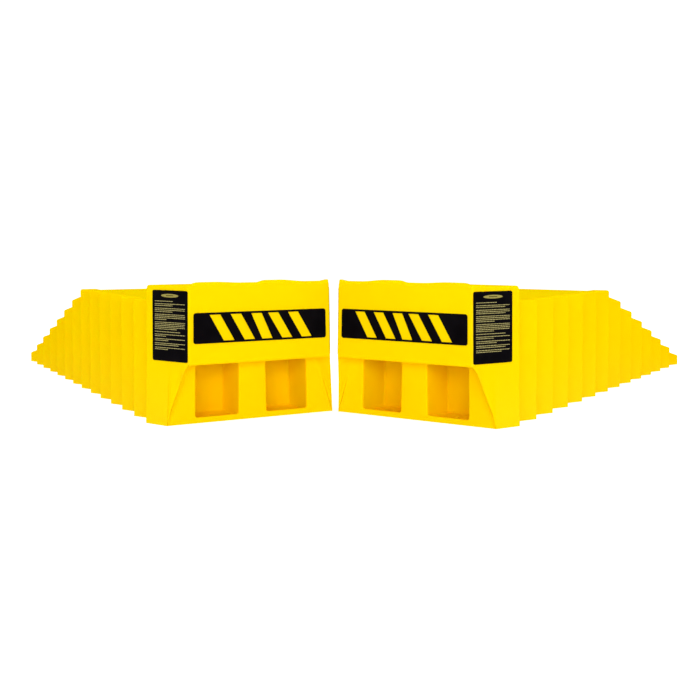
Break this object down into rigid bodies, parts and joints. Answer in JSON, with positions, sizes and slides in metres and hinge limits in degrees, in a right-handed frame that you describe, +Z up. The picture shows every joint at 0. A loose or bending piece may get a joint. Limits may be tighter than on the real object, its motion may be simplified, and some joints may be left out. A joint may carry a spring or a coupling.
{
  "type": "ramp leveler",
  "caption": "Pair of moulded drive-on wheel ramps with zigzag sides, a level deck, a wheel stop and a hand hold, standing in a V.",
  "frame": {"origin": "middle of the bounding box of the pair, on the floor", "axes": "+X along the longest side, to the right seen from the tall ends; +Y from the tall ends towards the tips; +Z up"},
  "size_m": [1.1574, 0.787, 0.1694],
  "materials": {
    "ramp_yellow": "bright yellow moulded polyethylene, satin with a fine moulded grain",
    "label_black": "black printed film, satin gloss, with pale greeked lines",
    "print_black": "black print, satin"
  },
  "bodies": {
    "left_ramp": {"left_ramp_body": "ramp_yellow", "left_label_port": "label_black", "left_label_starboard": "label_black", "left_front_panel": "print_black"},
    "right_ramp": {"right_ramp_body": "ramp_yellow", "right_label_port": "label_black", "right_label_starboard": "label_black", "right_front_panel": "print_black"}
  },
  "joints": [
    {"name": "right_ramp_slide", "type": "slide", "parent": "left_ramp", "child": "right_ramp", "axis": [1, 0, 0], "range_m": [0, 0.5]}
  ]
}
